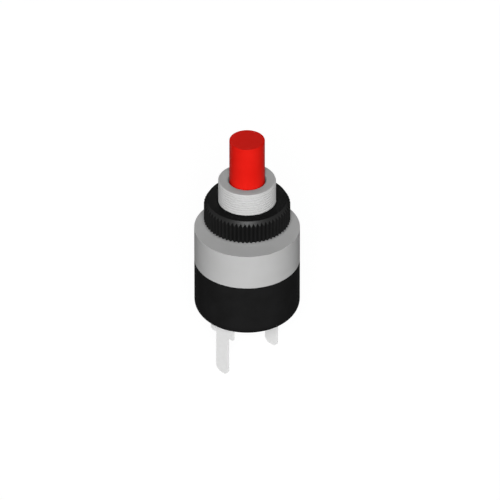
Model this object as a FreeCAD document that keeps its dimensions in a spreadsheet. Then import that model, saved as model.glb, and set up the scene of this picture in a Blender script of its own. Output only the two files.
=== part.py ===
import FreeCAD, Part
import os
import re

import Sketcher

# A panel-mounting pushbutton switch: momentary, normally open, one pole, with a double break.
# The origin is the middle of the shoulder that sits against the panel. +Z runs up the bushing
# to the button, and the two terminals stand below the base at +Y (far) and -Y (near).

SIZES = {
    # Housing
    "bushing_dia": 10.0,
    "bushing_length": 10.0,
    "bushing_chamfer": 0.15,
    "mouth_flare": 0.2,
    "mouth_depth": 0.8,
    "shell_dia": 18.3,
    "shell_height": 6.65,
    "shell_top": 1.2,
    "shell_wall": 0.9,
    # Mounting nut
    "nut_wall": 2.5,
    "nut_height": 4.25,
    "nut_chamfer_width": 0.6,
    "nut_chamfer_height": 1.0,
    "nut_lead": 0.3,
    "nut_clearance": 0.05,
    "tooth_count": 62,
    "tooth_depth": 0.36,
    "tooth_land": 0.05,
    "panel_gap": 1.7,
    # Button
    "button_dia": 6.15,
    "button_rise": 8.25,
    "button_edge": 0.15,
    "button_clearance": 0.075,
    "button_stroke": 3.0,
    "collar_lip": 1.225,
    "collar_thickness": 1.2,
    "collar_stop_gap": 0.05,
    "post_dia": 3.2,
    "stem_dia": 2.4,
    "stem_flats": 1.9,
    "stem_tip": 0.7,
    "travel_margin": 0.5,
    # Retaining ring
    "ring_dia": 5.0,
    "ring_thickness": 0.4,
    "ring_rim": 0.7,
    "ring_lugs": 4,
    "ring_lug_width": 0.9,
    "ring_groove_dia": 1.7,
    "ring_clearance": 0.02,
    # Base
    "base_height": 10.35,
    "base_edge_radius": 2.0,
    "base_floor": 1.0,
    "ledge_height": 4.5,
    "spigot_clearance": 0.05,
    "spigot_lead": 0.3,
    "bead_height": 0.15,
    "bead_width": 0.6,
    "bead_rise": 1.5,
    "collar_room": 0.4,
    "ring_room": 0.4,
    "spring_room": 0.3,
    # Insulator
    "insulator_thickness": 0.5,
    "insulator_clearance": 0.05,
    "insulator_room": 0.1,
    # Contact bridge
    "bridge_width": 3.4,
    "bridge_thickness": 0.5,
    "bridge_side_gap": 0.3,
    "bridge_end_gap": 0.5,
    "bridge_corner": 0.5,
    "stem_clearance": 0.05,
    # Contacts
    "contact_gap": 1.8,
    "contact_inset": 1.65,
    "rivet_clearance": 0.025,
    "moving_contact_dia": 2.2,
    "moving_contact_height": 0.5,
    "moving_shank_dia": 1.0,
    "upset_dia": 1.5,
    "upset_height": 0.2,
    "fixed_contact_dia": 2.4,
    "fixed_contact_height": 0.6,
    "fixed_shank_dia": 1.3,
    "fixed_shank_depth": 1.3,
    # Terminals
    "terminal_spacing": 12.0,
    "terminal_thickness": 0.32,
    "terminal_room": 0.1,
    "terminal_clearance": 0.05,
    "shoulder_width": 5.5,
    "shoulder_drop": 2.9,
    "shoulder_corner": 0.4,
    "shoulder_seat": 1.5,
    "tab_width": 2.9,
    "tab_length": 8.0,
    "tab_end_radius": 1.2,
    "leg_side_gap": 0.4,
    "leg_margin": 0.1,
    "slot_wall": 0.3,
    # Springs
    "contact_spring_dia": 4.4,
    "contact_spring_wire": 0.3,
    "contact_spring_turns": 3.5,
    "return_spring_dia": 3.4,
    "return_spring_wire": 0.35,
    "return_spring_turns": 4.5,
    "spring_end_gap": 0.02,
}

# Heights along the axis, from the shoulder down through the switch
SEAM = "-shell_height"
BOTTOM = f"({SEAM} - base_height)"
CEILING = "-shell_top"
SPIGOT_TOP = f"({CEILING} - insulator_thickness)"
COLLAR_TOP = f"({CEILING} - collar_stop_gap)"
COLLAR_BOTTOM = f"({COLLAR_TOP} - collar_thickness)"
COLLAR_FLOOR = f"({COLLAR_BOTTOM} - button_stroke - travel_margin)"
LEDGE = f"({BOTTOM} + ledge_height)"
LEG_TOP = f"({LEDGE} + terminal_thickness)"
FIXED_CONTACT_TOP = f"({LEG_TOP} + fixed_contact_height)"
MOVING_CONTACT_BOTTOM = f"({FIXED_CONTACT_TOP} + contact_gap)"
BRIDGE_BOTTOM = f"({MOVING_CONTACT_BOTTOM} + moving_contact_height)"
BRIDGE_TOP = f"({BRIDGE_BOTTOM} + bridge_thickness)"
POST_BOTTOM = f"({BRIDGE_TOP} + button_stroke - contact_gap + travel_margin)"
RING_BOTTOM = f"({BRIDGE_BOTTOM} - ring_thickness)"
RING_GROOVE_BOTTOM = f"({RING_BOTTOM} - ring_clearance)"
STEM_END = f"({RING_BOTTOM} - stem_tip)"
RING_FLOOR = f"({RING_BOTTOM} - button_stroke - travel_margin)"
WELL_FLOOR = f"({BOTTOM} + base_floor)"
SHOULDER_END = f"({BOTTOM} - shoulder_drop)"
TAB_END = f"({SHOULDER_END} - tab_length)"
SEAT_TOP = f"({BOTTOM} + shoulder_seat)"

# Widths that one piece takes from another
NUT_DIA = "(bushing_dia + 2 * nut_wall)"
BORE_DIA = "(button_dia + 2 * button_clearance)"
COLLAR_DIA = "(button_dia + 2 * button_clearance + 2 * collar_lip)"
CUP_DIA = "(shell_dia - 2 * shell_wall)"
SPIGOT_DIA = f"({CUP_DIA} - 2 * spigot_clearance)"
BEAD_DIA = f"({CUP_DIA} + 2 * bead_height)"
BEAD_GROOVE_DIA = f"({BEAD_DIA} + 2 * spigot_clearance)"
COLLAR_WELL_DIA = f"({COLLAR_DIA} + 2 * collar_room)"
RING_WELL_DIA = "(ring_dia + 2 * ring_room)"
SPRING_WELL_DIA = "(return_spring_dia + 2 * spring_room)"
GUIDE_WIDTH = "(bridge_width + 2 * bridge_side_gap)"
GUIDE_LENGTH = "(terminal_spacing + terminal_thickness + 2 * terminal_room)"
BRIDGE_LENGTH = f"({GUIDE_LENGTH} - 2 * bridge_end_gap)"
LEG_WIDTH = f"({GUIDE_WIDTH} - 2 * leg_side_gap)"
CONTACT_REACH = "(terminal_spacing / 2 - contact_inset)"
LEG_REACH = f"({CONTACT_REACH} - fixed_contact_dia / 2 - leg_margin)"
SLOT_INNER = "(terminal_spacing / 2 - terminal_thickness / 2 - terminal_clearance)"
SLOT_OUTER = "(terminal_spacing / 2 + terminal_thickness / 2 + terminal_clearance)"
SHOULDER_SLOT_HALF = "(shoulder_width / 2 + terminal_clearance)"
SLOT_CORNER_RADIUS = f"sqrt({SLOT_OUTER} ^ 2 + {SHOULDER_SLOT_HALF} ^ 2)"

# How far a cutting outline runs past what it cuts
OVERCUT = 1.0
# How far apart two places may be and still count as the same
SAME_PLACE = 1e-4
# The photographed side of the nut faces between -Y and +X, with a tooth's tip in the middle
NUT_FACING_DEG = -45.0

doc = FreeCAD.newDocument("PushbuttonSwitch")
sheet = doc.addObject("Spreadsheet::Sheet", "Sizes")
sheet.Label = "Sizes"


def fill_sheet():
    for row, (name, value) in enumerate(SIZES.items(), start=1):
        sheet.set(f"A{row}", name)
        sheet.set(f"B{row}", str(value))
        sheet.setAlias(f"B{row}", name)
    doc.recompute()


def on_sheet(formula):
    """Give the sheet's own name to each size that a formula uses."""
    return re.sub(r"[a-z_]+", lambda word: f"Sizes.{word[0]}" if word[0] in SIZES else word[0], formula)


def value_of(formula):
    return float(sheet.evalExpression(on_sheet(formula)))


def bind(feature, **formulas):
    for name, formula in formulas.items():
        feature.setExpression(name, on_sheet(formula))


def new_body(name, height="0"):
    body = doc.addObject("PartDesign::Body", name)
    body.Label = name
    body.setExpression("Placement.Base.z", on_sheet(height))
    return body


def new_sketch(body, plane, name, lift="0"):
    """Start a sketch on one of the body's origin planes, moved along that plane's normal."""
    sketch = body.newObject("Sketcher::SketchObject", name)
    origin_plane = next(f for f in body.Origin.OriginFeatures if f.Role == plane)
    sketch.AttachmentSupport = [(origin_plane, "")]
    sketch.MapMode = "FlatFace"
    sketch.setExpression("AttachmentOffset.Base.z", on_sheet(lift))
    return sketch


def pin_point(sketch, shape, end, across, up):
    """Hold a sketch point at its two distances from the origin, each a formula."""
    for kind, formula in (("DistanceX", across), ("DistanceY", up)):
        place = sketch.addConstraint(Sketcher.Constraint(kind, -1, 1, shape, end, value_of(formula)))
        sketch.setExpression(f"Constraints[{place}]", on_sheet(formula))


def draw_outline(sketch, corners):
    """Draw a closed outline of straight lines through corners given as pairs of formulas."""
    points = [FreeCAD.Vector(value_of(x), value_of(y), 0) for x, y in corners]
    lines = [
        sketch.addGeometry(Part.LineSegment(point, points[(i + 1) % len(points)]), False)
        for i, point in enumerate(points)
    ]
    for i, line in enumerate(lines):
        sketch.addConstraint(Sketcher.Constraint("Coincident", line, 1, lines[i - 1], 2))
        pin_point(sketch, line, 1, *corners[i])


def draw_box(sketch, left, right, low, high):
    draw_outline(sketch, [(left, low), (right, low), (right, high), (left, high)])


def draw_circle(sketch, diameter, across="0", up="0"):
    centre = FreeCAD.Vector(value_of(across), value_of(up), 0)
    circle = Part.Circle(centre, FreeCAD.Vector(0, 0, 1), value_of(diameter) / 2)
    shape = sketch.addGeometry(circle, False)
    pin_point(sketch, shape, 3, across, up)
    size = sketch.addConstraint(Sketcher.Constraint("Diameter", shape, value_of(diameter)))
    sketch.setExpression(f"Constraints[{size}]", on_sheet(diameter))


def turn(body, name, corners):
    """Turn a half section, given as pairs of radius and height, about the body's axis."""
    sketch = new_sketch(body, "XZ_Plane", f"{name}_section")
    draw_outline(sketch, corners)
    feature = body.newObject("PartDesign::Revolution", name)
    feature.Profile = sketch
    feature.ReferenceAxis = (sketch, ["V_Axis"])
    feature.Angle = 360
    doc.recompute()
    return feature


def pad(body, name, sketch, thickness, midplane=False):
    feature = body.newObject("PartDesign::Pad", name)
    feature.Profile = sketch
    feature.SideType = "Symmetric" if midplane else "One side"
    bind(feature, Length=thickness)
    doc.recompute()
    return feature


def pocket(body, name, sketch, depth=None, upwards=False):
    """Cut a sketch's outline out of the body, to a depth or right through both ways."""
    feature = body.newObject("PartDesign::Pocket", name)
    feature.Profile = sketch
    if depth is None:
        feature.Type = "ThroughAll"
        feature.SideType = "Symmetric"
    else:
        feature.Reversed = upwards
        bind(feature, Length=depth)
    doc.recompute()
    return feature


def around_axis(body, name, feature, count):
    """Repeat a feature evenly round the body's own Z axis."""
    pattern = body.newObject("PartDesign::PolarPattern", name)
    pattern.Originals = [feature]
    pattern.Axis = (feature.Profile[0], ["N_Axis"])
    pattern.Angle = 360
    bind(pattern, Occurrences=count)
    body.Tip = pattern
    doc.recompute()
    return pattern


def round_edges(body, name, radius, chosen):
    """Round the edges of the body's last feature that a test on each edge chooses."""
    last = body.Tip
    names = [f"Edge{i + 1}" for i, edge in enumerate(last.Shape.Edges) if chosen(edge)]
    fillet = body.newObject("PartDesign::Fillet", name)
    fillet.Base = (last, names)
    bind(fillet, Radius=radius)
    doc.recompute()
    return fillet


def is_ring_at(edge, diameter, height):
    """Is this edge a full circle of that diameter at that height?"""
    if not isinstance(edge.Curve, Part.Circle):
        return False
    return (
        abs(2 * edge.Curve.Radius - value_of(diameter)) < SAME_PLACE
        and abs(edge.Curve.Center.z - value_of(height)) < SAME_PLACE
    )


def middle(edge):
    return edge.valueAt((edge.FirstParameter + edge.LastParameter) / 2)


def make_housing():
    """Threaded bushing, shoulder and cup, turned as one piece. The fine thread isn't cut."""
    body = new_body("housing")
    groove_low = f"({SEAM} + bead_rise - bead_width)"
    groove_high = f"({SEAM} + bead_rise + bead_width)"
    turn(body, "housing_turning", [
        (f"{BORE_DIA} / 2 + mouth_flare", "bushing_length"),
        ("bushing_dia / 2 - bushing_chamfer", "bushing_length"),
        ("bushing_dia / 2", "bushing_length - bushing_chamfer"),
        ("bushing_dia / 2", "0"),
        ("shell_dia / 2", "0"),
        ("shell_dia / 2", SEAM),
        (f"{CUP_DIA} / 2", SEAM),
        (f"{CUP_DIA} / 2", groove_low),
        (f"{BEAD_GROOVE_DIA} / 2", f"{groove_low} + bead_width / 2"),
        (f"{BEAD_GROOVE_DIA} / 2", f"{groove_high} - bead_width / 2"),
        (f"{CUP_DIA} / 2", groove_high),
        (f"{CUP_DIA} / 2", CEILING),
        (f"{BORE_DIA} / 2", CEILING),
        (f"{BORE_DIA} / 2", "bushing_length - mouth_depth"),
    ])
    return body


def make_mounting_nut():
    """Round nut with straight V teeth all round, which run out into its top chamfer."""
    body = new_body("mounting_nut", "panel_gap")
    turn_to_photo = FreeCAD.Rotation(FreeCAD.Vector(0, 0, 1), NUT_FACING_DEG + 180 / value_of("tooth_count"))
    body.Placement.Rotation = turn_to_photo
    bore_dia = "(bushing_dia + 2 * nut_clearance)"
    turn(body, "nut_blank", [
        (f"{bore_dia} / 2 + nut_lead", "0"),
        (f"{NUT_DIA} / 2", "0"),
        (f"{NUT_DIA} / 2", "nut_height - nut_chamfer_height"),
        (f"{NUT_DIA} / 2 - nut_chamfer_width", "nut_height"),
        (f"{bore_dia} / 2 + nut_lead", "nut_height"),
        (f"{bore_dia} / 2", "nut_height - nut_lead"),
        (f"{bore_dia} / 2", "nut_lead"),
    ])
    gap = new_sketch(body, "XY_Plane", "tooth_gap_outline", "nut_height")
    half_width = f"(pi * {NUT_DIA} / tooth_count / 2 - tooth_land / 2)"
    flare = f"({half_width} * (tooth_depth + nut_lead) / tooth_depth)"
    draw_outline(gap, [
        (f"{NUT_DIA} / 2 - tooth_depth", "0"),
        (f"{NUT_DIA} / 2 + nut_lead", f"-{flare}"),
        (f"{NUT_DIA} / 2 + nut_lead", flare),
    ])
    gap_cut = pocket(body, "tooth_gap", gap)
    around_axis(body, "teeth", gap_cut, "tooth_count")
    return body


def make_button():
    """Moulded button with its collar, the post inside the contact spring, and the stem."""
    body = new_body("button")
    top = "(bushing_length + button_rise)"
    turn(body, "button_moulding", [
        ("0", STEM_END),
        ("stem_dia / 2", STEM_END),
        ("stem_dia / 2", RING_GROOVE_BOTTOM),
        ("ring_groove_dia / 2", RING_GROOVE_BOTTOM),
        ("ring_groove_dia / 2", BRIDGE_BOTTOM),
        ("stem_dia / 2", BRIDGE_BOTTOM),
        ("stem_dia / 2", POST_BOTTOM),
        ("post_dia / 2", POST_BOTTOM),
        ("post_dia / 2", COLLAR_BOTTOM),
        (f"{COLLAR_DIA} / 2", COLLAR_BOTTOM),
        (f"{COLLAR_DIA} / 2", COLLAR_TOP),
        ("button_dia / 2", COLLAR_TOP),
        ("button_dia / 2", f"{top} - button_edge"),
        ("button_dia / 2 - button_edge", top),
        ("0", top),
    ])
    flats = new_sketch(body, "XY_Plane", "stem_flats_outline", STEM_END)
    past_stem = f"(stem_dia / 2 + {OVERCUT})"
    draw_box(flats, "stem_flats / 2", past_stem, f"-{past_stem}", past_stem)
    draw_box(flats, f"-{past_stem}", "-stem_flats / 2", f"-{past_stem}", past_stem)
    pocket(body, "stem_flats_cut", flats, f"{POST_BOTTOM} - {STEM_END}", upwards=True)
    return body


def make_retaining_ring():
    """Clip pushed sideways on to the stem's groove. Its mouth takes the place of one of its lugs."""
    body = new_body("retaining_ring", RING_BOTTOM)
    rim = new_sketch(body, "XY_Plane", "clip_rim_outline")
    draw_circle(rim, "ring_dia")
    draw_circle(rim, "(ring_dia - 2 * ring_rim)")
    pad(body, "clip_rim", rim, "ring_thickness")
    lug = new_sketch(body, "XY_Plane", "clip_lug_outline")
    lug_in = "-(ring_groove_dia / 2 + ring_clearance)"
    lug_out = "-(ring_dia / 2 - ring_rim / 2)"
    draw_box(lug, lug_out, lug_in, "-ring_lug_width / 2", "ring_lug_width / 2")
    lug_pad = pad(body, "clip_lug", lug, "ring_thickness")
    around_axis(body, "clip_lugs", lug_pad, "ring_lugs")
    mouth = new_sketch(body, "XY_Plane", "clip_mouth_outline")
    mouth_half = "(ring_groove_dia / 2 + ring_clearance)"
    draw_box(mouth, "0", f"ring_dia / 2 + {OVERCUT}", f"-{mouth_half}", mouth_half)
    pocket(body, "clip_mouth", mouth)
    return body


def make_base():
    """Moulded base: a spigot that snaps into the cup, wells for the moving pieces, slots for terminals."""
    body = new_body("base")
    bead_middle = f"({SEAM} + bead_rise)"
    turn(body, "base_turning", [
        ("0", BOTTOM),
        ("shell_dia / 2", BOTTOM),
        ("shell_dia / 2", SEAM),
        (f"{SPIGOT_DIA} / 2", SEAM),
        (f"{SPIGOT_DIA} / 2", f"{bead_middle} - bead_width / 2"),
        (f"{BEAD_DIA} / 2", bead_middle),
        (f"{SPIGOT_DIA} / 2", f"{bead_middle} + bead_width / 2"),
        (f"{SPIGOT_DIA} / 2", f"{SPIGOT_TOP} - spigot_lead"),
        (f"{SPIGOT_DIA} / 2 - spigot_lead", SPIGOT_TOP),
        (f"{COLLAR_WELL_DIA} / 2", SPIGOT_TOP),
        (f"{COLLAR_WELL_DIA} / 2", COLLAR_FLOOR),
        (f"{RING_WELL_DIA} / 2", COLLAR_FLOOR),
        (f"{RING_WELL_DIA} / 2", RING_FLOOR),
        (f"{SPRING_WELL_DIA} / 2", RING_FLOOR),
        (f"{SPRING_WELL_DIA} / 2", WELL_FLOOR),
        ("0", WELL_FLOOR),
    ])
    guide = new_sketch(body, "XY_Plane", "bridge_guide_outline", SPIGOT_TOP)
    half_width, half_length = f"{GUIDE_WIDTH} / 2", f"{GUIDE_LENGTH} / 2"
    draw_box(guide, f"-{half_width}", half_width, f"-{half_length}", half_length)
    pocket(body, "bridge_guide", guide, f"{SPIGOT_TOP} - {LEDGE}")
    cut_terminal_slots(body)
    rivets = new_sketch(body, "XY_Plane", "rivet_holes_outline", LEDGE)
    rivet_hole = "(fixed_shank_dia + 2 * rivet_clearance)"
    draw_circle(rivets, rivet_hole, "0", CONTACT_REACH)
    draw_circle(rivets, rivet_hole, "0", f"-{CONTACT_REACH}")
    pocket(body, "rivet_holes", rivets, "fixed_shank_depth + rivet_clearance")
    wall_outside_slots = f"(shell_dia / 2 - {SLOT_CORNER_RADIUS} - slot_wall)"
    round_edges(
        body, "base_edge", f"min(base_edge_radius; {wall_outside_slots})",
        lambda edge: is_ring_at(edge, "shell_dia", BOTTOM),
    )
    return body


def cut_terminal_slots(body):
    """Cut a narrow slot up to the ledge for each terminal, wider where its shoulder is seated."""
    for name, width, depth in (
        ("terminal_slots", f"({LEG_WIDTH} / 2 + terminal_clearance)", "ledge_height"),
        ("shoulder_slots", SHOULDER_SLOT_HALF, "shoulder_seat + terminal_clearance"),
    ):
        slots = new_sketch(body, "XY_Plane", f"{name}_outline", BOTTOM)
        draw_box(slots, f"-{width}", width, SLOT_INNER, SLOT_OUTER)
        draw_box(slots, f"-{width}", width, f"-{SLOT_OUTER}", f"-{SLOT_INNER}")
        pocket(body, name, slots, depth, upwards=True)


def make_insulator_disc():
    """Fibre ring between the metal cup's ceiling and the base's spigot."""
    body = new_body("insulator_disc", SPIGOT_TOP)
    ring = new_sketch(body, "XY_Plane", "insulator_outline")
    draw_circle(ring, f"({CUP_DIA} - 2 * insulator_clearance)")
    draw_circle(ring, f"({COLLAR_DIA} + 2 * insulator_room)")
    pad(body, "insulator_ring", ring, "insulator_thickness")
    return body


def make_contact_bridge():
    """Bar across the two fixed contacts, with a flatted hole that slides on the stem."""
    body = new_body("contact_bridge", BRIDGE_BOTTOM)
    bar = new_sketch(body, "XY_Plane", "bar_outline")
    half_width, half_length = "bridge_width / 2", f"{BRIDGE_LENGTH} / 2"
    draw_box(bar, f"-{half_width}", half_width, f"-{half_length}", half_length)
    pad(body, "bar", bar, "bridge_thickness")
    round_edges(body, "bar_corners", "bridge_corner", is_upright)
    hole = new_sketch(body, "XY_Plane", "stem_hole_outline")
    draw_circle(hole, "(stem_dia + 2 * stem_clearance)")
    pocket(body, "stem_hole", hole)
    sides = new_sketch(body, "XY_Plane", "stem_hole_sides_outline")
    flat = "(stem_flats / 2 + stem_clearance)"
    halfway_out = "((stem_dia + bridge_width) / 4)"
    draw_box(sides, flat, halfway_out, f"-{halfway_out}", halfway_out)
    draw_box(sides, f"-{halfway_out}", f"-{flat}", f"-{halfway_out}", halfway_out)
    pad(body, "stem_hole_sides", sides, "bridge_thickness")
    rivets = new_sketch(body, "XY_Plane", "contact_holes_outline")
    rivet_hole = "(moving_shank_dia + 2 * rivet_clearance)"
    draw_circle(rivets, rivet_hole, "0", CONTACT_REACH)
    draw_circle(rivets, rivet_hole, "0", f"-{CONTACT_REACH}")
    pocket(body, "contact_holes", rivets)
    return body


def is_upright(edge):
    """Is this a straight edge along Z?"""
    ends = edge.Vertexes
    return isinstance(edge.Curve, Part.Line) and abs(ends[0].Z - ends[-1].Z) > edge.Length / 2


def place_at(body, side, reach, facing=False):
    """Stand a body made at the axis on the near (-1) or far (1) side of it."""
    body.setExpression("Placement.Base.y", on_sheet(f"{side} * {reach}"))
    if facing and side < 0:
        body.Placement.Rotation = FreeCAD.Rotation(FreeCAD.Vector(0, 0, 1), 180)


def make_moving_contact(name, side):
    """Contact rivet that hangs from the bridge, with its shank upset above the bar."""
    body = new_body(name, MOVING_CONTACT_BOTTOM)
    bar_low = "moving_contact_height"
    bar_high = "(moving_contact_height + bridge_thickness)"
    turn(body, f"{name}_turning", [
        ("0", "0"),
        ("moving_contact_dia / 2", "0"),
        ("moving_contact_dia / 2", bar_low),
        ("moving_shank_dia / 2", bar_low),
        ("moving_shank_dia / 2", bar_high),
        ("upset_dia / 2", bar_high),
        ("upset_dia / 2", f"{bar_high} + upset_height"),
        ("0", f"{bar_high} + upset_height"),
    ])
    place_at(body, side, CONTACT_REACH)
    return body


def make_fixed_contact(name, side):
    """Contact rivet through a terminal's leg, with its shank pressed into the base."""
    body = new_body(name, LEG_TOP)
    shank_end = "-(terminal_thickness + fixed_shank_depth)"
    turn(body, f"{name}_turning", [
        ("0", shank_end),
        ("fixed_shank_dia / 2", shank_end),
        ("fixed_shank_dia / 2", "0"),
        ("fixed_contact_dia / 2", "0"),
        ("fixed_contact_dia / 2", "fixed_contact_height"),
        ("0", "fixed_contact_height"),
    ])
    place_at(body, side, CONTACT_REACH)
    return body


def make_terminal(name, side):
    """Folded strip: a leg on the base's ledge, a wide shoulder, and a narrow tab with a rounded end."""
    body = new_body(name)
    inner = "(terminal_spacing / 2 - terminal_thickness / 2)"
    outer = "(terminal_spacing / 2 + terminal_thickness / 2)"
    strip = new_sketch(body, "YZ_Plane", f"{name}_fold")
    draw_outline(strip, [
        (outer, TAB_END),
        (outer, LEG_TOP),
        (LEG_REACH, LEG_TOP),
        (LEG_REACH, LEDGE),
        (inner, LEDGE),
        (inner, TAB_END),
    ])
    pad(body, f"{name}_strip", strip, "shoulder_width", midplane=True)
    at_bend = FreeCAD.Vector(0, value_of(outer), value_of(LEG_TOP))
    round_edges(
        body, f"{name}_bend", "terminal_thickness",
        lambda edge: (middle(edge) - at_bend).Length < SAME_PLACE,
    )
    trim = new_sketch(body, "XZ_Plane", f"{name}_trim_outline")
    past = f"(shoulder_width / 2 + {OVERCUT})"
    for low, high, half_width in (
        (f"({TAB_END} - {OVERCUT})", SHOULDER_END, "tab_width / 2"),
        (SEAT_TOP, f"({LEG_TOP} + {OVERCUT})", f"{LEG_WIDTH} / 2"),
    ):
        draw_box(trim, half_width, past, low, high)
        draw_box(trim, f"-{past}", f"-{half_width}", low, high)
    pocket(body, f"{name}_trim", trim)
    for corner, width, height, radius in (
        ("tab_end", "tab_width", TAB_END, "tab_end_radius"),
        ("shoulder_corners", "shoulder_width", SHOULDER_END, "shoulder_corner"),
    ):
        across, up = value_of(width) / 2, value_of(height)
        round_edges(body, f"{name}_{corner}", radius, lambda edge: is_corner_at(edge, across, up))
    hole = new_sketch(body, "XY_Plane", f"{name}_rivet_hole_outline", LEG_TOP)
    draw_circle(hole, "(fixed_shank_dia + 2 * rivet_clearance)", "0", CONTACT_REACH)
    pocket(body, f"{name}_rivet_hole", hole, "terminal_thickness")
    place_at(body, side, "0", facing=True)
    return body


def is_corner_at(edge, across, up):
    """Is this a straight edge through the sheet, along Y, at that place left or right of the axis?"""
    point = middle(edge)
    ends = edge.Vertexes
    along_y = abs(ends[0].Y - ends[-1].Y) > 0.9 * edge.Length
    return along_y and abs(abs(point.x) - across) < SAME_PLACE and abs(point.z - up) < SAME_PLACE


def make_spring(name, diameter, wire, turns, low, high):
    """Coil spring between two seats, its wire drawn with six flats that touch the round wire's outline."""
    body = new_body(name, f"{low} + {wire} / 2 + spring_end_gap")
    section = new_sketch(body, "XZ_Plane", f"{name}_wire")
    middle_radius = f"({diameter} - {wire}) / 2"
    corner, half_corner = f"{wire} / sqrt(3)", f"{wire} / sqrt(3) / 2"
    draw_outline(section, [
        (f"{middle_radius} - {corner}", "0"),
        (f"{middle_radius} - {half_corner}", f"-{wire} / 2"),
        (f"{middle_radius} + {half_corner}", f"-{wire} / 2"),
        (f"{middle_radius} + {corner}", "0"),
        (f"{middle_radius} + {half_corner}", f"{wire} / 2"),
        (f"{middle_radius} - {half_corner}", f"{wire} / 2"),
    ])
    coil = body.newObject("PartDesign::AdditiveHelix", f"{name}_coil")
    coil.Profile = section
    coil.ReferenceAxis = (section, ["V_Axis"])
    coil.Mode = "height-turns-angle"
    bind(coil, Height=f"{high} - {low} - {wire} - 2 * spring_end_gap", Turns=turns)
    doc.recompute()
    return body


def make_parts():
    bodies = [
        make_housing(),
        make_mounting_nut(),
        make_button(),
        make_retaining_ring(),
        make_base(),
        make_insulator_disc(),
        make_contact_bridge(),
    ]
    for end, side in (("near", -1), ("far", 1)):
        bodies += [
            make_moving_contact(f"moving_contact_{end}", side),
            make_fixed_contact(f"fixed_contact_{end}", side),
            make_terminal(f"terminal_{end}", side),
        ]
    bodies += [
        make_spring(
            "contact_spring",
            "contact_spring_dia", "contact_spring_wire", "contact_spring_turns",
            BRIDGE_TOP, COLLAR_BOTTOM,
        ),
        make_spring(
            "return_spring",
            "return_spring_dia", "return_spring_wire", "return_spring_turns",
            WELL_FLOOR, RING_BOTTOM,
        ),
    ]
    return bodies


def check_parts(bodies):
    """Stop if a feature failed, a cut removed nothing, or a piece isn't one sound solid."""
    for item in doc.Objects:
        if {"Invalid", "Error"} & set(item.State):
            raise RuntimeError(f"{item.Label} failed: {item.State}")
        if item.TypeId == "PartDesign::Pocket" and item.Shape.Volume >= item.BaseFeature.Shape.Volume:
            raise RuntimeError(f"{item.Label} cuts nothing")
    for body in bodies:
        shape = body.Shape
        if shape.isNull() or not shape.isValid() or len(shape.Solids) != 1:
            raise RuntimeError(f"{body.Label} isn't one sound solid")


def write_parts(bodies):
    os.makedirs("parts", exist_ok=True)
    for body in bodies:
        body.Shape.exportStep(os.path.join("parts", f"{body.Label}.step"))
        box = body.Shape.BoundBox
        print(f"{body.Label}: volume {body.Shape.Volume:.3f}, z {box.ZMin:.3f} to {box.ZMax:.3f}")


fill_sheet()
switch_parts = make_parts()
doc.recompute()
check_parts(switch_parts)
write_parts(switch_parts)
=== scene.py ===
from contextlib import contextmanager
from math import cos, pi, radians, sin, tan

import bmesh
import bpy
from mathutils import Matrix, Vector


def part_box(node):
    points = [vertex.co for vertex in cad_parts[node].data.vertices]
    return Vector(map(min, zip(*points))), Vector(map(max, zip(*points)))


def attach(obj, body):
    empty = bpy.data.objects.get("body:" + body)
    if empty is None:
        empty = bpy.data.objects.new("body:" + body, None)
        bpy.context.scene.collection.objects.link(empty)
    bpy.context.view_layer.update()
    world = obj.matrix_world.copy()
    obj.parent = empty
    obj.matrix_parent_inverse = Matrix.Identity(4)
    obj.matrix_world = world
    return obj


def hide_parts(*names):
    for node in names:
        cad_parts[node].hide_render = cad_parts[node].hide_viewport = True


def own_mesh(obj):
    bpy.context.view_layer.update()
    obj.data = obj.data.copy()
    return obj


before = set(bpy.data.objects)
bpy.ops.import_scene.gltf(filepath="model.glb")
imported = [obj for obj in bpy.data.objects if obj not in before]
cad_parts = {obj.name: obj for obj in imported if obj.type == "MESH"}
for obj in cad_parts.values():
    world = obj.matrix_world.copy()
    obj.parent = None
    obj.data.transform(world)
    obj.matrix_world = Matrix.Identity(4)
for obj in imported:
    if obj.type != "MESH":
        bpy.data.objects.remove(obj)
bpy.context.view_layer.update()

# Sizes, in metres. Places come from the frame, and the rest are the switch's own details.
MM = 0.001
shell_low, bushing_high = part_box("housing")
base_low, base_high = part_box("base")
nut_low, nut_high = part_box("mounting_nut")
stem_low, button_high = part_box("button")
ring_low, ring_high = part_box("retaining_ring")
bridge_low, bridge_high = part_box("contact_bridge")
disc_low, disc_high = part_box("insulator_disc")
far_low, far_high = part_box("terminal_far")

SEAM = shell_low.z
BOTTOM = base_low.z
SPIGOT_TOP = base_high.z
CEILING = disc_high.z
BUSHING_TOP = bushing_high.z

SHELL_R = bushing_high.x
SHELL_WALL = 0.9 * MM
CUP_R = SHELL_R - SHELL_WALL
BUSHING_R = 5.0 * MM
THREAD_PITCH = 0.5 * MM
THREAD_DEPTH = 0.27 * MM
THREAD_ROOT_R = BUSHING_R - THREAD_DEPTH

BUTTON_R = 3.075 * MM
BORE_R = BUTTON_R + 0.075 * MM
COLLAR_R = BORE_R + 1.225 * MM
COLLAR_HEIGHT = 1.2 * MM
COLLAR_TOP = CEILING - 0.05 * MM
COLLAR_BOTTOM = COLLAR_TOP - COLLAR_HEIGHT
STROKE = 3.0 * MM
TRAVEL_MARGIN = 0.5 * MM
CONTACT_GAP = 1.8 * MM
STEM_R = 1.2 * MM
STEM_FLAT = 0.95 * MM
POST_BOTTOM = bridge_high.z + STROKE - CONTACT_GAP + TRAVEL_MARGIN

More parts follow.
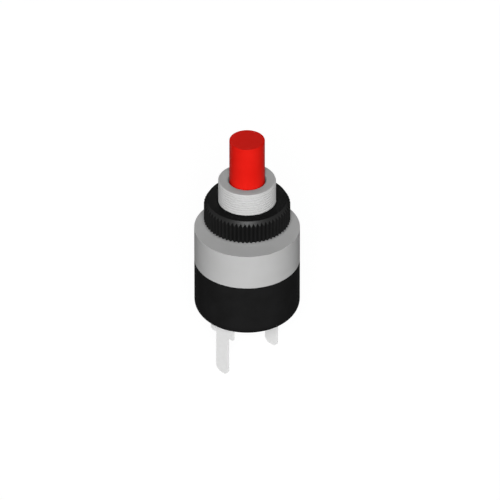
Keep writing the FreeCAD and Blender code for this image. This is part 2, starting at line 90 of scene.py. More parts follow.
LEDGE = BOTTOM + 4.5 * MM
WELL_FLOOR = BOTTOM + 1.0 * MM
STRIP = 0.32 * MM
SLIP = 0.05 * MM
TERMINAL_Y = far_high.y - STRIP / 2
CONTACT_Y = TERMINAL_Y - 1.65 * MM
SHOULDER_HALF = far_high.x
TAB_HALF = 1.45 * MM
LEG_HALF = 1.6 * MM
SHOULDER_END = BOTTOM - 2.9 * MM
SEAT_TOP = BOTTOM + 1.5 * MM
TAB_END = far_low.z
SHANK_R = 0.65 * MM
RIVET_SLIP = 0.025 * MM
RIVET_HOLE_DEPTH = 1.325 * MM

CONTACT_SPRING = {"diameter": 4.4 * MM, "wire": 0.30 * MM, "turns": 3.5}
RETURN_SPRING = {"diameter": 3.4 * MM, "wire": 0.35 * MM, "turns": 4.5}

NUT_R = 7.5 * MM
TOOTH_COUNT = 62
TOOTH_DEPTH = 0.36 * MM
# A tooth's tip faces the photographed side, between -Y and +X
NUT_FACING = radians(-45)

ROUND_SIDES = 128
ROD_SIDES = 48
WIRE_SIDES = 14
EDGE_EASE = 0.03 * MM
SAME_PLACE = 0.002 * MM
DOUBLES = 0.0001 * MM


# Working with meshes as by hand


def only(piece):
    """Select one piece and nothing else."""
    bpy.ops.object.select_all(action="DESELECT")
    piece.select_set(True)
    bpy.context.view_layer.objects.active = piece


@contextmanager
def editing(piece):
    """Open a piece in edit mode."""
    only(piece)
    bpy.ops.object.mode_set(mode="EDIT")
    bpy.ops.mesh.select_mode(type="VERT")
    yield
    bpy.ops.object.mode_set(mode="OBJECT")


def choose(kind, test):
    """In edit mode, select only the vertices, edges or faces that pass a test."""
    bpy.ops.mesh.select_mode(type=kind)
    bpy.ops.mesh.select_all(action="DESELECT")
    mesh = bpy.context.edit_object.data
    shape = bmesh.from_edit_mesh(mesh)
    for part in {"VERT": shape.verts, "EDGE": shape.edges, "FACE": shape.faces}[kind]:
        if test(part):
            part.select_set(True)
    shape.select_flush_mode()
    bmesh.update_edit_mesh(mesh)


def middle(part):
    """The middle of an edge or a face."""
    places = [vertex.co for vertex in part.verts]
    return sum(places, Vector()) / len(places)


def near(one, other):
    """Are two places along an axis the same?"""
    return abs(one - other) < SAME_PLACE


def start(name):
    """Name the primitive that was just added, and put its place and size into its mesh."""
    piece = bpy.context.object
    piece.name = name
    piece.data.name = name
    only(piece)
    bpy.ops.object.transform_apply(location=True, rotation=True, scale=True)
    return piece


def face_outwards(piece):
    """Merge the doubles, and turn every face outwards."""
    with editing(piece):
        bpy.ops.mesh.select_all(action="SELECT")
        bpy.ops.mesh.remove_doubles(threshold=DOUBLES)
        bpy.ops.mesh.normals_make_consistent(inside=False)


def apply_modifier(piece, kind, **settings):
    """Put one modifier on a piece and apply it at once."""
    only(piece)
    bpy.ops.object.modifier_add(type=kind)
    modifier = piece.modifiers[-1]
    for name, value in settings.items():
        setattr(modifier, name, value)
    bpy.ops.object.modifier_apply(modifier=modifier.name)


def ease_edges(piece, segments=3, angle=30):
    """Round every edge sharper than an angle, as a real part's edges are."""
    apply_modifier(
        piece, "BEVEL",
        width=EDGE_EASE, segments=segments, limit_method="ANGLE", angle_limit=radians(angle),
    )


def cut_away(piece, cutter):
    """Cut one closed mesh out of another, and drop the cutter."""
    apply_modifier(piece, "BOOLEAN", object=cutter, operation="DIFFERENCE", solver="EXACT")
    bpy.data.objects.remove(cutter)


def smooth(piece, angle=32):
    """Shade a piece smooth up to an angle, with its large faces kept flat right up to their edges."""
    only(piece)
    bpy.ops.object.shade_smooth_by_angle(angle=radians(angle))
    apply_modifier(piece, "WEIGHTED_NORMAL", keep_sharp=True)


def close_ends(corners):
    """Close the open ends of a section that was wound up, each with as many corners as the section."""
    bpy.ops.mesh.select_mode(type="EDGE")
    bpy.ops.mesh.select_non_manifold(extend=False)
    bpy.ops.mesh.fill_holes(sides=corners)


def extrude_to(scale, rise):
    """Extrude the selected ring, make it wider or narrower, and lift it."""
    bpy.ops.mesh.extrude_edges_move()
    bpy.ops.transform.resize(value=(scale, scale, 1), center_override=(0, 0, 0))
    bpy.ops.transform.translate(value=(0, 0, rise))


def turned(name, outline, closed=False):
    """Turn a piece: a circle is extruded from point to point of an outline of radii and heights."""
    first_radius, first_height = radius, height = outline[0]
    bpy.ops.object.select_all(action="DESELECT")
    bpy.ops.mesh.primitive_circle_add(vertices=ROUND_SIDES, radius=radius, location=(0, 0, height))
    piece = start(name)
    with editing(piece):
        bpy.ops.mesh.select_all(action="SELECT")
        for next_radius, next_height in outline[1:] + outline[:1] * closed:
            extrude_to(next_radius / radius, next_height - height)
            radius, height = next_radius, next_height
        if not closed:
            bpy.ops.mesh.edge_face_add()
            choose("VERT", lambda v: near(v.co.z, first_height) and near(v.co.xy.length, first_radius))
            bpy.ops.mesh.edge_face_add()
    face_outwards(piece)
    return piece


def rounded(radius, centre, first, last, steps):
    """Points of a turned arc, as radius and height, between two angles from straight outwards."""
    angles = [radians(first + (last - first) * i / steps) for i in range(steps + 1)]
    return [(centre[0] + radius * cos(angle), centre[1] + radius * sin(angle)) for angle in angles]


def box(name, low, high):
    """A box between two corners."""
    low, high = Vector(low), Vector(high)
    bpy.ops.object.select_all(action="DESELECT")
    bpy.ops.mesh.primitive_cube_add(size=1, location=(low + high) / 2, scale=high - low)
    return start(name)


def rod(name, radius, low, high, y):
    """An upright round rod on the X = 0 plane."""
    bpy.ops.object.select_all(action="DESELECT")
    bpy.ops.mesh.primitive_cylinder_add(
        vertices=ROD_SIDES, radius=radius, depth=high - low, location=(0, y, (low + high) / 2),
    )
    return start(name)


# The switch's pieces


def make_housing():
    """Bushing with its thread, shoulder and cup, turned as one piece."""
    relief = 0.5 * MM
    chamfer = 0.15 * MM
    mouth_flare, mouth_depth = 0.2 * MM, 0.8 * MM
    groove_r = CUP_R + 0.2 * MM
    groove_low, groove_high, groove_slope = SEAM + 0.9 * MM, SEAM + 2.1 * MM, 0.3 * MM
    piece = turned("housing_turned", [
        (BORE_R, CEILING),
        (BORE_R, BUSHING_TOP - mouth_depth),
        (BORE_R + mouth_flare, BUSHING_TOP),
        (BUSHING_R - chamfer, BUSHING_TOP),
        (BUSHING_R, BUSHING_TOP - chamfer),
        (BUSHING_R, relief),
        (THREAD_ROOT_R, relief / 2),
        (THREAD_ROOT_R, 0),
        (SHELL_R, 0),
        (SHELL_R, SEAM),
        (CUP_R, SEAM),
        (CUP_R, groove_low),
        (groove_r, groove_low + groove_slope),
        (groove_r, groove_high - groove_slope),
        (CUP_R, groove_high),
        (CUP_R, CEILING),
    ], closed=True)
    ease_edges(piece)
    cut_away(piece, make_thread_groove(relief / 2))
    smooth(piece)
    return piece


def make_thread_groove(low):
    """The thread's V groove: its section wound up round the axis, and closed at both ends."""
    turns = round((BUSHING_TOP - low) / THREAD_PITCH) + 1
    past = 0.03 * MM
    root_half = THREAD_PITCH / 16
    mouth_half = root_half + (THREAD_DEPTH + past) * tan(radians(30))
    bpy.ops.object.select_all(action="DESELECT")
    bpy.ops.mesh.primitive_plane_add(size=1, rotation=(pi / 2, 0, 0))
    piece = start("thread_groove")
    with editing(piece):
        bpy.ops.mesh.select_all(action="SELECT")
        bpy.ops.mesh.delete(type="ONLY_FACE")
        for corner_x, half, radius in ((0.5, mouth_half, BUSHING_R + past), (-0.5, root_half, THREAD_ROOT_R)):
            choose("VERT", lambda v: near(v.co.x, corner_x))
            bpy.ops.transform.resize(value=(0, 1, 2 * half), center_override=(radius, 0, 0))
        bpy.ops.mesh.select_all(action="SELECT")
        bpy.ops.transform.translate(value=(0, 0, low))
    apply_modifier(
        piece, "SCREW",
        axis="Z", angle=2 * pi, screw_offset=THREAD_PITCH, iterations=turns,
        steps=ROUND_SIDES, render_steps=ROUND_SIDES,
    )
    with editing(piece):
        close_ends(4)
    face_outwards(piece)
    return piece


def make_nut():
    """Round nut with V teeth, whose chamfer runs lower on the tips than in the gaps."""
    chamfer_width, chamfer_height = 0.6 * MM, 1.0 * MM
    low, high = nut_low.z, nut_high.z
    bore_r = BUSHING_R + 0.05 * MM
    # Narrower than the solid's lead, as the photograph shows next to no gap round the bushing
    lead = 0.12 * MM
    flat_r = NUT_R - chamfer_width
    gap_r = NUT_R - TOOTH_DEPTH
    gap_drop = chamfer_height * (1 - TOOTH_DEPTH / chamfer_width)
    tip_drop = chamfer_height
    bpy.ops.object.select_all(action="DESELECT")
    bpy.ops.mesh.primitive_circle_add(
        vertices=2 * TOOTH_COUNT, radius=NUT_R,
        location=(0, 0, low), rotation=(0, 0, NUT_FACING - pi / 2),
    )
    piece = start("nut_knurled")
    with editing(piece):
        # Every second corner goes in, which leaves a tip between each two gaps
        facing = Vector((cos(NUT_FACING), sin(NUT_FACING)))
        tooth = 2 * pi / TOOTH_COUNT
        choose("VERT", lambda v: round(2 * v.co.xy.angle_signed(facing) / tooth) % 2 == 1)
        bpy.ops.transform.resize(value=(gap_r / NUT_R, gap_r / NUT_R, 1), center_override=(0, 0, 0))
        bpy.ops.mesh.select_all(action="SELECT")
        extrude_to(1, high - tip_drop - low)
        choose("VERT", lambda v: v.co.z > low + SAME_PLACE and near(v.co.xy.length, gap_r))
        bpy.ops.transform.translate(value=(0, 0, tip_drop - gap_drop))
        # The chamfer closes in from both to one circle round the flat top
        choose("VERT", lambda v: v.co.z > low + SAME_PLACE)
        extrude_to(1, tip_drop)
        choose("VERT", lambda v: near(v.co.z, high))
        bpy.ops.transform.resize(value=(flat_r / NUT_R, flat_r / NUT_R, 1), center_override=(0, 0, 0))
        choose("VERT", lambda v: v.co.z > high + SAME_PLACE)
        bpy.ops.transform.resize(value=(flat_r / gap_r, flat_r / gap_r, 1), center_override=(0, 0, 0))
        bpy.ops.transform.translate(value=(0, 0, gap_drop - tip_drop))
        # The top, the bore and its leads
        choose("VERT", lambda v: near(v.co.z, high))
        extrude_to((bore_r + lead) / flat_r, 0)
        extrude_to(bore_r / (bore_r + lead), -lead)
        extrude_to(1, low - high + 2 * lead)
        extrude_to((bore_r + lead) / bore_r, -lead)
        choose("EDGE", lambda e: all(near(v.co.z, low) for v in e.verts))
        bpy.ops.mesh.bridge_edge_loops()
    face_outwards(piece)
    ease_edges(piece, segments=2)
    smooth(piece, angle=28)
    return piece


def make_button():
    """Moulded button with its collar, the post inside the contact spring, and the stem with its flats."""
    # Sharper than the solid's edge, as the photograph shows no bright line there
    edge = 0.1 * MM
    post_r, groove_r = 1.6 * MM, 0.85 * MM
    groove_low = ring_low.z - 0.02 * MM
    top = button_high.z
    piece = turned("button_moulded", [
        (STEM_R, stem_low.z),
        (STEM_R, groove_low),
        (groove_r, groove_low),
        (groove_r, bridge_low.z),
        (STEM_R, bridge_low.z),
        (STEM_R, POST_BOTTOM),
        (post_r, POST_BOTTOM),
        (post_r, COLLAR_BOTTOM),
        (COLLAR_R, COLLAR_BOTTOM),
        (COLLAR_R, COLLAR_TOP),
        (BUTTON_R, COLLAR_TOP),
        *rounded(edge, (BUTTON_R - edge, top - edge), 0, 90, 8),
    ])
    with editing(piece):
        for side in (-1, 1):
            choose("VERT", lambda v: (
                v.co.z < POST_BOTTOM + SAME_PLACE
                and side * v.co.x > STEM_FLAT
                and v.co.xy.length < STEM_R + SAME_PLACE
            ))
            bpy.ops.transform.resize(value=(0, 1, 1), center_override=(side * STEM_FLAT, 0, 0))
    face_outwards(piece)
    ease_edges(piece, angle=40)
    smooth(piece)
    return piece


def make_base():
    """Moulded base: a spigot that snaps into the cup, wells for what moves, slots for the terminals."""
    edge = 2.0 * MM
    spigot_r = CUP_R - SLIP
    bead_r, bead_half, bead_z = CUP_R + 0.15 * MM, 0.3 * MM, SEAM + 1.5 * MM
    lead = 0.3 * MM
    collar_well_r = COLLAR_R + 0.4 * MM
    ring_well_r = 2.9 * MM
    spring_well_r = 2.0 * MM
    collar_floor = COLLAR_BOTTOM - STROKE - TRAVEL_MARGIN
    ring_floor = ring_low.z - STROKE - TRAVEL_MARGIN
    past = 1.0 * MM
    piece = turned("base_moulded", [
        *rounded(edge, (SHELL_R - edge, BOTTOM + edge), -90, 0, 16),
        (SHELL_R, SEAM),
        (spigot_r, SEAM),
        (spigot_r, bead_z - bead_half),
        (bead_r, bead_z),
        (spigot_r, bead_z + bead_half),
        (spigot_r, SPIGOT_TOP - lead),
        (spigot_r - lead, SPIGOT_TOP),
        (collar_well_r, SPIGOT_TOP),
        (collar_well_r, collar_floor),
        (ring_well_r, collar_floor),
        (ring_well_r, ring_floor),
        (spring_well_r, ring_floor),
        (spring_well_r, WELL_FLOOR),
    ])
    guide_x, guide_y = 2.0 * MM, TERMINAL_Y + STRIP / 2 + 0.1 * MM
    cut_away(piece, box("guide", (-guide_x, -guide_y, LEDGE), (guide_x, guide_y, SPIGOT_TOP + past)))
    for side in (-1, 1):
        inner, outer = sorted(side * (TERMINAL_Y + half * (STRIP / 2 + SLIP)) for half in (-1, 1))
        for half_width, top in ((LEG_HALF + SLIP, LEDGE + SLIP), (SHOULDER_HALF + SLIP, SEAT_TOP + SLIP)):
            cut_away(piece, box("slot", (-half_width, inner, BOTTOM - past), (half_width, outer, top)))
        hole_floor = LEDGE - RIVET_HOLE_DEPTH
        cut_away(piece, rod("rivet_hole", SHANK_R + RIVET_SLIP, hole_floor, LEDGE + past, side * CONTACT_Y))
    ease_edges(piece, segments=2)
    smooth(piece)
    return piece


def make_terminal(end, side):
    """Folded strip: tab with a rounded end, wide shoulder, and a leg bent in over the base's ledge."""
    half = STRIP / 2
    leg_top = LEDGE + STRIP
    leg_end = CONTACT_Y - 1.3 * MM
    tab_corner, shoulder_corner = 1.2 * MM, 0.4 * MM
    piece = box(
        f"terminal_{end}_strip",
        (-TAB_HALF, TERMINAL_Y - half, TAB_END),
        (TAB_HALF, TERMINAL_Y + half, SHOULDER_END),
    )
    with editing(piece):
        height = SHOULDER_END
        for next_height in (SEAT_TOP, LEDGE, leg_top):
            choose("FACE", lambda f: near(middle(f).z, height) and abs(f.normal.z) > 0.9)
            bpy.ops.mesh.extrude_region_move(TRANSFORM_OT_translate={"value": (0, 0, next_height - height)})
            height = next_height
        for direction in (-1, 1):
            for low, high, reach in ((SHOULDER_END, SEAT_TOP, SHOULDER_HALF), (SEAT_TOP, leg_top, LEG_HALF)):
                choose("FACE", lambda f: low < middle(f).z < high and f.normal.x * direction > 0.9)
                bpy.ops.mesh.extrude_region_move(
                    TRANSFORM_OT_translate={"value": (direction * (reach - TAB_HALF), 0, 0)},
                )
        choose("FACE", lambda f: LEDGE < middle(f).z < leg_top and f.normal.y < -0.9)
        bpy.ops.mesh.extrude_region_move(
            TRANSFORM_OT_translate={"value": (0, leg_end - (TERMINAL_Y - half), 0)},
        )
        for radius, steps, height, out_x, out_y in (
            (tab_corner, 14, TAB_END, TAB_HALF, None),
            (shoulder_corner, 8, SHOULDER_END, SHOULDER_HALF, None),
            (STRIP, 8, leg_top, None, TERMINAL_Y + half),
        ):
            choose("EDGE", lambda e: (
                near(middle(e).z, height)
                and (out_x is None or near(abs(middle(e).x), out_x))
                and (out_y is None or near(middle(e).y, out_y))
            ))
            bpy.ops.mesh.bevel(offset=radius, segments=steps, affect="EDGES", clamp_overlap=False)
    face_outwards(piece)
    cut_away(piece, rod("rivet_hole", SHANK_R + RIVET_SLIP, LEDGE - STRIP, leg_top + STRIP, CONTACT_Y))
    if side < 0:
        with editing(piece):
            bpy.ops.mesh.select_all(action="SELECT")
            bpy.ops.transform.resize(value=(-1, -1, 1), center_override=(0, 0, 0))
    ease_edges(piece)
    smooth(piece)
    return piece


def make_spring(name, diameter, wire, turns, low, high):
    """Coil spring of round wire, with closed wire ends."""
    gap = 0.02 * MM
    steps = round(48 * turns)
    bpy.ops.object.select_all(action="DESELECT")
    bpy.ops.mesh.primitive_circle_add(
        vertices=WIRE_SIDES, radius=wire / 2, rotation=(pi / 2, 0, 0),
        location=((diameter - wire) / 2, 0, low + wire / 2 + gap),
    )
    piece = start(name)
    apply_modifier(
        piece, "SCREW",
        axis="Z", angle=2 * pi * turns, screw_offset=high - low - wire - 2 * gap,
        steps=steps, render_steps=steps,
    )
    with editing(piece):
        close_ends(WIRE_SIDES)
    face_outwards(piece)
    smooth(piece)
    return piece


def finished_copy(name, node):
    """A small inner piece: the frame's own shape with its corners joined and its edges eased."""
    piece = bpy.data.objects.new(name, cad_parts[node].data.copy())
    bpy.context.scene.collection.objects.link(piece)
    only(piece)
    bpy.ops.mesh.customdata_custom_splitnormals_clear()
    with editing(piece):
        bpy.ops.mesh.select_all(action="SELECT")
        bpy.ops.mesh.remove_doubles(threshold=DOUBLES)
        bpy.ops.mesh.dissolve_limited(angle_limit=radians(1))
    ease_edges(piece, segments=2)
    smooth(piece)
    return piece


# Materials


# Where a Mix node keeps its factor, its two colours and their result
MIX_FACTOR, MIX_ONE, MIX_OTHER, MIX_RESULT = 0, 6, 7, 2


class Nodes:
    """The nodes of one material or of the world, and short ways to add and join them."""

    def __init__(self, owner):
        owner.use_nodes = True
        self.owner = owner
        self.tree = owner.node_tree
        self.tree.nodes.clear()

    def add(self, kind, inputs=None, **settings):
        """Add a node. An input takes either a value or another node's output."""
        node = self.tree.nodes.new(kind)
        for name, value in settings.items():
            setattr(node, name, value)
        for where, value in (inputs or {}).items():
            if isinstance(value, bpy.types.NodeSocket):
                self.tree.links.new(value, node.inputs[where])
            else:
                node.inputs[where].default_value = value
        return node

    def vector(self, operation, one, other=(0, 0, 0)):
        """Reckon with vectors."""
        node = self.add("ShaderNodeVectorMath", {0: one, 1: other}, operation=operation)
        return node.outputs["Value" if operation in ("LENGTH", "DOT_PRODUCT") else "Vector"]

    def maths(self, operation, one, other):
        """Reckon with numbers."""
        return self.add("ShaderNodeMath", {0: one, 1: other}, operation=operation).outputs[0]

    def ramp(self, factor, *stops):
        """Turn a value into greys or colours, given as pairs of place and colour."""
        node = self.add("ShaderNodeValToRGB", {"Fac": factor})
        elements = node.color_ramp.elements
        while len(elements) < len(stops):
            elements.new(0.5)
        for element, (place, colour) in zip(elements, stops):
            element.position = place
            element.color = (*((colour,) * 3 if isinstance(colour, float) else colour), 1)
        return node.outputs["Color"]

    def mix(self, factor, one, other, blend="MIX"):
        """Blend two colours."""
        node = self.add("ShaderNodeMix", data_type="RGBA", blend_type=blend)
        for where, value in ((MIX_FACTOR, factor), (MIX_ONE, one), (MIX_OTHER, other)):
            if isinstance(value, bpy.types.NodeSocket):
                self.tree.links.new(value, node.inputs[where])
            else:
                node.inputs[where].default_value = (*value, 1) if isinstance(value, tuple) else value
        return node.outputs[MIX_RESULT]

    def seen(self):
        """One for what the camera sees, straight or in gloss or glass, and zero for stray light."""
        path = self.add("ShaderNodeLightPath").outputs
        reflected = self.maths("MAXIMUM", path["Is Glossy Ray"], path["Is Transmission Ray"])
        return self.maths("MAXIMUM", path["Is Camera Ray"], reflected)


class Finish(Nodes):
    """A piece's material: one shader, and patterns laid out in millimetres on the piece itself."""

    def __init__(self, name, **sockets):
        super().__init__(bpy.data.materials.new(name))
        named = {socket.replace("_", " "): value for socket, value in sockets.items()}
        self.shader = self.add("ShaderNodeBsdfPrincipled", named)
        self.add("ShaderNodeOutputMaterial", {"Surface": self.shader.outputs["BSDF"]})
        place = self.add("ShaderNodeTexCoord").outputs["Object"]
        self.place = self.vector("DIVIDE", place, (MM, MM, MM))

    def noise(self, size, detail=3.0, place=None):
        """Cloudy noise whose features are about that many millimetres."""
        inputs = {"Vector": place or self.place, "Scale": 1 / size, "Detail": detail, "Roughness": 0.55}
        return self.add("ShaderNodeTexNoise", inputs).outputs["Fac"]

    def stretched(self, x, y, z):
        """The place squeezed along one or more axes, which draws a pattern out along them."""
        return self.vector("MULTIPLY", self.place, (x, y, z))

    def radius(self):
        """How far the point stands from the axis."""
        return self.vector("LENGTH", self.stretched(1, 1, 0))

    def lathe_place(self):
        """Radius and height in place of the point, so that a pattern runs round the axis."""
        height = self.add("ShaderNodeSeparateXYZ", {0: self.place}).outputs["Z"]
        return self.add("ShaderNodeCombineXYZ", {"X": self.radius(), "Z": height}).outputs[0]

    def by_radius(self, *stops):
        """Greys or colours at radii in metres."""
        within = self.maths("DIVIDE", self.radius(), SHELL_R / MM)
        return self.ramp(within, *((radius / SHELL_R, colour) for radius, colour in stops))

    def edges(self, reach=0.08):
        """White within reach of an outside edge, in millimetres, and black elsewhere."""
        eased = self.add("ShaderNodeBevel", {"Radius": reach * MM}, samples=6).outputs["Normal"]
        surface = self.add("ShaderNodeNewGeometry").outputs
        turn = self.vector("DOT_PRODUCT", eased, surface["Normal"])
        beside = self.ramp(turn, (0.90, 1.0), (0.995, 0.0))
        outside = self.ramp(surface["Pointiness"], (0.50, 0.0), (0.53, 1.0))
        return self.mix(1.0, beside, outside, "MULTIPLY")

    def set(self, socket, link):
        """Drive one of the shader's inputs."""
        self.tree.links.new(link, self.shader.inputs[socket])

    def bump(self, *layers):
        """Raise the surface by layers, each a pattern and its depth in millimetres."""
        inputs = {}
        for pattern, depth in layers:
            inputs = {**inputs, "Height": pattern, "Strength": 1.0, "Distance": depth * MM}
            inputs = {"Normal": self.add("ShaderNodeBump", inputs).outputs["Normal"]}
        self.set("Normal", inputs["Normal"])


def plated_shell():
    """Satin plating over turned metal: fine rings from the lathe, with painted light on the thread's crests
    and painted shade in its roots.
    """
    finish = Finish("plated_shell", Metallic=0.06, Specular_IOR_Level=0.03)
    base = finish.ramp(finish.noise(4.0), (0.3, (0.67, 0.67, 0.665)), (0.7, (0.70, 0.70, 0.70)))
    # Painted light and shade: the thread's crests brighter; its roots, the bushing's top, the shoulder and
    # the cup darker
    painted_light_and_shade = finish.by_radius(
        (THREAD_ROOT_R - 0.04 * MM, 0.80),
        (THREAD_ROOT_R - 0.02 * MM, 0.84),
        (THREAD_ROOT_R + 0.10 * MM, 0.90),
        (BUSHING_R - 0.08 * MM, 1.0),
        (BUSHING_R + 0.02 * MM, 1.0),
        (BUSHING_R + 0.05 * MM, 0.85),
    )
    finish.set("Base Color", finish.mix(1.0, base, painted_light_and_shade, "MULTIPLY"))
    finish.set("Roughness", finish.ramp(finish.noise(1.2), (0.3, 0.50), (0.7, 0.60)))
    finish.bump((finish.noise(0.25, 2.0, finish.lathe_place()), 0.0015))
    return finish.owner


def blackened_nut():
    """Matt blackened metal. The chamfer was turned after the teeth were rolled, and shines more."""
    finish = Finish("blackened_nut", Specular_IOR_Level=0.03, Specular_Tint=(0.3, 0.3, 0.3, 1))
    cloudy = finish.ramp(finish.noise(2.5), (0.3, (0.017, 0.017, 0.017)), (0.7, (0.022, 0.022, 0.0222)))
    # Lighter on the teeth's tips as wear; darker in the gaps between the teeth and on the top, a painted
    # shade
    tip_wear_and_gap_shade = finish.by_radius(
        (NUT_R - 2 * TOOTH_DEPTH, 0.50),
        (NUT_R - TOOTH_DEPTH, 0.34),
        (NUT_R - TOOTH_DEPTH / 4, 0.70),
    )
    base = finish.mix(1.0, cloudy, tip_wear_and_gap_shade, "MULTIPLY")
    normal = finish.add("ShaderNodeNewGeometry").outputs["True Normal"]
    slope = finish.add("ShaderNodeSeparateXYZ", {0: normal}).outputs["Z"]
    # White where a face slopes as the chamfer does, between the upright teeth and the flat top
    chamfer = finish.ramp(slope, (0.30, 0.0), (0.36, 1.0), (0.75, 1.0), (0.81, 0.0))
    # Edges rubbed lighter, over the painted shade of the gaps and the top
    worn_and_shaded = finish.mix(finish.edges(0.05), base, (0.024, 0.024, 0.024))
    finish.set("Base Color", finish.mix(chamfer, worn_and_shaded, (0.030, 0.030, 0.030)))
    finish.set("Metallic", chamfer)
    matt = finish.ramp(finish.noise(0.8), (0.3, 0.60), (0.7, 0.68))
    finish.set("Roughness", finish.mix(chamfer, matt, (0.48, 0.48, 0.48)))
    finish.bump((finish.noise(0.15), 0.002))
    return finish.owner


def red_moulding():
    """Red moulding, a little glossy, with a faint ripple and slightly darker colour within 0.2 mm of its
    edges.
    """
    finish = Finish("red_moulding", Specular_IOR_Level=0.02)
    base = finish.ramp(finish.noise(3.0), (0.3, (0.84, 0.012, 0.007)), (0.7, (0.90, 0.016, 0.010)))
    finish.set("Base Color", finish.mix(finish.edges(0.2), base, (0.70, 0.012, 0.007)))
    finish.set("Roughness", finish.ramp(finish.noise(0.7), (0.3, 0.44), (0.7, 0.54)))
    finish.bump((finish.noise(0.5), 0.002), (finish.noise(0.06), 0.0006))
    return finish.owner


def black_moulding():
    """Black moulding with a fine matt grain."""
    finish = Finish("black_moulding", Specular_IOR_Level=0.004)
    base = finish.ramp(finish.noise(3.5), (0.3, (0.012, 0.012, 0.012)), (0.7, (0.016, 0.016, 0.0163)))
    finish.set("Base Color", finish.mix(finish.edges(), base, (0.03, 0.03, 0.03)))
    finish.set("Roughness", finish.ramp(finish.noise(0.4), (0.3, 0.66), (0.7, 0.78)))
    finish.bump((finish.noise(0.07, 2.0), 0.002))
    return finish.owner


def tinned_strip():
    """Tin plating with soft mottling over the fine lines of the rolled strip."""
    finish = Finish("tinned_terminal", Metallic=0.3)
    base = finish.ramp(finish.noise(0.9), (0.3, (0.90, 0.90, 0.895)), (0.7, (0.94, 0.94, 0.94)))
    finish.set("Base Color", finish.mix(finish.edges(0.05), base, (0.96, 0.96, 0.96)))
    finish.set("Roughness", finish.ramp(finish.noise(0.5), (0.3, 0.38), (0.7, 0.50)))
    lines = finish.noise(0.08, 2.0, finish.stretched(1, 1, 0.06))
    finish.bump((lines, 0.0015), (finish.noise(0.4), 0.002))
    return finish.owner


def fibre_board():
    """Vulcanised fibre: red-brown, matt, with short darker fibres."""
    finish = Finish("fibre", Roughness=0.85, Specular_IOR_Level=0.2)
    fibres = finish.noise(0.25, 6.0)
    finish.set("Base Color", finish.ramp(fibres, (0.3, (0.20, 0.055, 0.03)), (0.7, (0.36, 0.12, 0.07))))
    finish.bump((fibres, 0.01))
    return finish.owner


def bare_metal(name, dark, light, rough):
    """Plain metal of a small inner piece, with slight mottling and brighter edges."""
    finish = Finish(name, Metallic=0.9)
    base = finish.ramp(finish.noise(0.9), (0.3, dark), (0.7, light))
    finish.set("Base Color", finish.mix(finish.edges(0.04), base, tuple(1.1 * part for part in light)))
    finish.set("Roughness", finish.ramp(finish.noise(0.3), (0.3, rough - 0.06), (0.7, rough + 0.08)))
    finish.bump((finish.noise(0.1), 0.002))
    return finish.owner


def dress(piece, material, body, node):
    """Give a finished piece its material, its body and the frame's node that it stands for."""
    piece.data.materials.clear()
    piece.data.materials.append(material)
    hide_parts(node)
    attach(piece, body)


def make_switch():
    """Make every piece, and give it its finish."""
    tin = tinned_strip()
    silver = bare_metal("contact_silver", (0.80, 0.79, 0.76), (0.88, 0.87, 0.84), 0.30)
    brass = bare_metal("bridge_brass", (0.66, 0.48, 0.20), (0.76, 0.57, 0.27), 0.32)
    steel = bare_metal("spring_steel", (0.38, 0.38, 0.39), (0.50, 0.50, 0.51), 0.30)
    dress(make_housing(), plated_shell(), "body", "housing")
    dress(make_nut(), blackened_nut(), "nut", "mounting_nut")
    button = make_button()
    # Its red light would tint the bushing's top, which the photograph shows plain grey
    button.visible_diffuse = False
    dress(button, red_moulding(), "plunger", "button")
    dress(make_base(), black_moulding(), "body", "base")
    disc = finished_copy("insulator_fibre", "insulator_disc")
    dress(disc, fibre_board(), "body", "insulator_disc")
    for end, side in (("near", -1), ("far", 1)):
        dress(make_terminal(end, side), tin, "body", f"terminal_{end}")
        for kind, body in (("fixed_contact", "body"), ("moving_contact", "bridge")):
            rivet = finished_copy(f"{kind}_{end}_rivet", f"{kind}_{end}")
            dress(rivet, silver, body, f"{kind}_{end}")
    bar = finished_copy("bridge_bar", "contact_bridge")
    dress(bar, brass, "bridge", "contact_bridge")
    clip = finished_copy("ring_clip", "retaining_ring")
    dress(clip, steel, "plunger", "retaining_ring")
    add_springs(steel)


def add_springs(steel):
    """Both springs, the contact spring riding with the plunger and the return spring with the body, each with
    a mesh of its own.
    """
    contact_low, contact_high = bridge_high.z, COLLAR_BOTTOM
    contact = make_spring("contact_spring_coil", low=contact_low, high=contact_high, **CONTACT_SPRING)
    dress(contact, steel, "plunger", "contact_spring")
    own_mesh(contact)
    return_low, return_high = WELL_FLOOR, ring_low.z
    back = make_spring("return_spring_coil", low=return_low, high=return_high, **RETURN_SPRING)
    dress(back, steel, "body", "return_spring")
    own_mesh(back)


# The studio

# As in the photograph, the camera stands between -Y and +X and looks down at the angle of an isometric view
CAMERA_AZIMUTH = 45
CAMERA_ELEVATION = 35.26
LENS_MM = 1200
SENSOR_MM = 36
IMAGE_PIXELS = 500
PIXEL = 0.17295 * MM
# Where the shoulder's middle stands from the middle of the photographed frame, in pixels
SHOULDER_RIGHT = -2.9
SHOULDER_UP = 23.4

# Each lamp's elevation in degrees, strength, and softness in degrees
KEY_LAMP = (CAMERA_ELEVATION, 2.65, 18)
LOW_LAMP = (6, 0.6, 10)
REAR_LAMP = (1, 1.3, 2)
AMBIENT = 0.015
FLOOR_COLOUR = 0.10
FLOOR_GLOW = 0.955
FLOOR_R = 3.0


def towards(azimuth, elevation):
    """Direction to something at an azimuth and elevation in degrees, with azimuth 0 at -Y."""
    azimuth, elevation = radians(azimuth), radians(elevation)
    return Vector((sin(azimuth) * cos(elevation), -cos(azimuth) * cos(elevation), sin(elevation)))


def facing(direction):
    """Turn of a lamp or camera that looks back along a direction."""
    return direction.to_track_quat("Z", "Y").to_euler()


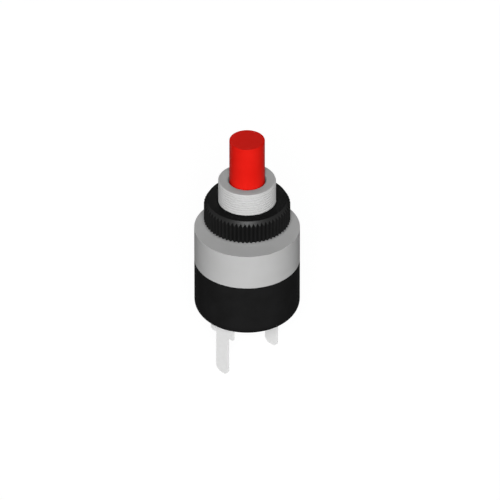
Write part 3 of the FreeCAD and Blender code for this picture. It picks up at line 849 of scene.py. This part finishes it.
def add_camera():
    """Long lens far away, as the photograph shows next to no perspective."""
    back = towards(CAMERA_AZIMUTH, CAMERA_ELEVATION)
    right = towards(CAMERA_AZIMUTH + 90, 0)
    up = back.cross(right)
    aim = -PIXEL * (SHOULDER_RIGHT * right + SHOULDER_UP * up)
    distance = IMAGE_PIXELS * PIXEL * LENS_MM / SENSOR_MM
    bpy.ops.object.camera_add(location=aim + distance * back, rotation=facing(back))
    camera = bpy.context.object
    camera.name = "camera"
    camera.data.lens = LENS_MM
    camera.data.sensor_width = SENSOR_MM
    camera.data.clip_start = 0.1
    camera.data.clip_end = 20
    bpy.context.scene.camera = camera


def add_sun(name, azimuth, elevation, strength, softness):
    """A far lamp that shines on the switch from an azimuth and elevation."""
    bpy.ops.object.light_add(type="SUN", rotation=facing(towards(azimuth, elevation)))
    lamp = bpy.context.object
    lamp.name = name
    lamp.data.energy = strength
    lamp.data.angle = radians(softness)


def add_floor():
    """White floor under the tabs' ends. It glows, so that it is white where lit, and takes the shadow."""
    bpy.ops.object.select_all(action="DESELECT")
    bpy.ops.mesh.primitive_circle_add(
        vertices=64, radius=FLOOR_R, fill_type="NGON", location=(0, 0, TAB_END),
    )
    floor = start("floor")
    nodes = Nodes(bpy.data.materials.new("floor_white"))
    matt = nodes.add("ShaderNodeBsdfDiffuse", {"Color": (FLOOR_COLOUR, FLOOR_COLOUR, FLOOR_COLOUR, 1)})
    glow = nodes.add("ShaderNodeEmission", {"Strength": nodes.maths("MULTIPLY", nodes.seen(), FLOOR_GLOW)})
    both = nodes.add("ShaderNodeAddShader", {0: matt.outputs[0], 1: glow.outputs[0]})
    # From below the floor is clear, so that the underside can be looked at
    below = nodes.add("ShaderNodeNewGeometry").outputs["Backfacing"]
    clear = nodes.add("ShaderNodeBsdfTransparent")
    side = nodes.add("ShaderNodeMixShader", {0: below, 1: both.outputs[0], 2: clear.outputs[0]})
    nodes.add("ShaderNodeOutputMaterial", {"Surface": side.outputs[0]})
    floor.data.materials.append(nodes.owner)


def add_world():
    """Pale backdrop, white at the horizon and greyer above, with a weak even light from all round."""
    world = bpy.data.worlds.new("studio")
    nodes = Nodes(world)
    direction = nodes.add("ShaderNodeTexCoord").outputs["Generated"]
    height = nodes.add("ShaderNodeSeparateXYZ", {0: direction}).outputs["Z"]
    backdrop = nodes.ramp(height, (0.0, 0.97), (0.2, 0.85), (0.5, 0.55))
    colour = nodes.mix(nodes.seen(), (AMBIENT, AMBIENT, AMBIENT), backdrop)
    background = nodes.add("ShaderNodeBackground", {"Color": colour})
    nodes.add("ShaderNodeOutputWorld", {"Surface": background.outputs[0]})
    bpy.context.scene.world = world


def light_studio():
    """The main lamp stands behind the camera. A low one in front keeps the sides brighter than the tops."""
    add_sun("key_lamp", CAMERA_AZIMUTH, *KEY_LAMP)
    add_sun("low_lamp", CAMERA_AZIMUTH, *LOW_LAMP)
    add_sun("rear_lamp", CAMERA_AZIMUTH + 180, *REAR_LAMP)
    add_world()
    add_floor()


make_switch()
add_camera()
light_studio()
bpy.context.scene.view_settings.view_transform = "Standard"
